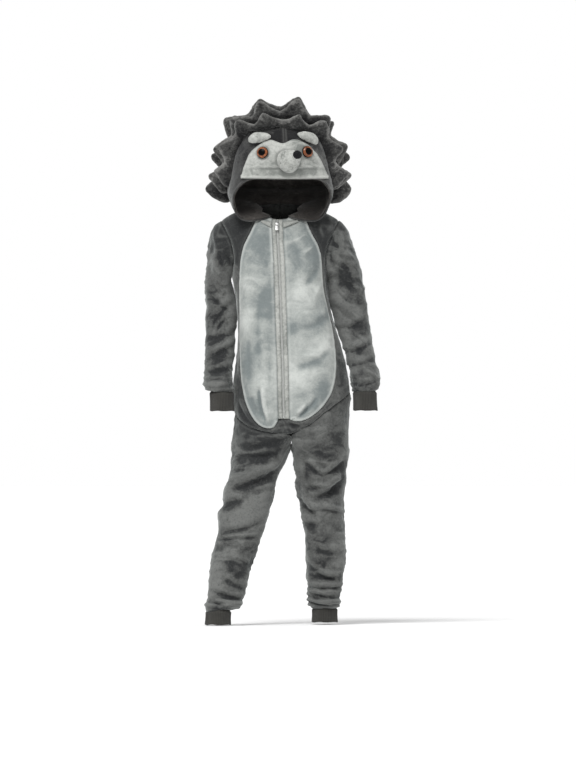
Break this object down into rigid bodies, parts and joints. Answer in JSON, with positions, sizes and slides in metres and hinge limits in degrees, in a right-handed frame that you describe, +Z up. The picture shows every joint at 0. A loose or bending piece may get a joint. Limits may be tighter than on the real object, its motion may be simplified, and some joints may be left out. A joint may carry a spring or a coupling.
{
  "type": "child's hooded hedgehog onesie, worn",
  "caption": "Hollow plush onesie in a standing worn pose, with a spiked animal hood, light belly, ribbed cuffs and a front zip.",
  "frame": {"origin": "on the centre line between the shoulders, level with the top of the zip, where the wearer's shoulders hold the garment up", "axes": "+Z up, front faces -Y, the wearer's right is -X"},
  "size_m": [0.4183, 0.3132, 1.2424],
  "materials": {
    "dark_grey_plush": "brushed plush pile",
    "light_grey_plush": "brushed plush pile",
    "charcoal_rib_knit": "ribbed knit",
    "charcoal_lining": "smooth jersey",
    "amber_eye_plastic": "glossy with a black pupil",
    "black_nose_knit": "short curled pile",
    "zip_teeth_grey": "moulded teeth",
    "silver_zip_metal": "polished"
  },
  "bodies": {
    "garment": {"ankle_cuff_left": "charcoal_rib_knit", "ankle_cuff_right": "charcoal_rib_knit", "belly_left": "light_grey_plush", "belly_right": "light_grey_plush", "body_back_left": "dark_grey_plush", "body_back_right": "dark_grey_plush", "body_front_left": "dark_grey_plush", "body_front_right": "dark_grey_plush", "collar_left": "light_grey_plush", "collar_right": "light_grey_plush", "ear_left": "light_grey_plush", "ear_right": "light_grey_plush", "eye_left": "amber_eye_plastic", "eye_right": "amber_eye_plastic", "hood_face": "light_grey_plush", "hood_left": "dark_grey_plush", "hood_lining_left": "charcoal_lining", "hood_lining_right": "charcoal_lining", "hood_right": "dark_grey_plush", "leg_back_left": "dark_grey_plush", "leg_back_right": "dark_grey_plush", "leg_front_left": "dark_grey_plush", "leg_front_right": "dark_grey_plush", "nose": "black_nose_knit", "sleeve_left": "dark_grey_plush", "sleeve_right": "dark_grey_plush", "snout": "light_grey_plush", "spike_row_1": "dark_grey_plush", "spike_row_2": "dark_grey_plush", "spike_row_3": "dark_grey_plush", "spike_row_4": "dark_grey_plush", "spike_row_5": "dark_grey_plush", "wrist_cuff_left": "charcoal_rib_knit", "wrist_cuff_right": "charcoal_rib_knit", "zip_band_left": "light_grey_plush", "zip_band_right": "light_grey_plush", "zip_slider": "silver_zip_metal", "zip_teeth": "zip_teeth_grey"},
    "pull_tab": {"zip_pull": "silver_zip_metal"}
  },
  "joints": [
    {"name": "zip_pull_swing", "type": "hinge", "parent": "garment", "child": "pull_tab", "pos_m": [-0.00641, -0.06791, -0.00678], "axis": [1, 0, 0], "range_deg": [-150, 0]}
  ]
}
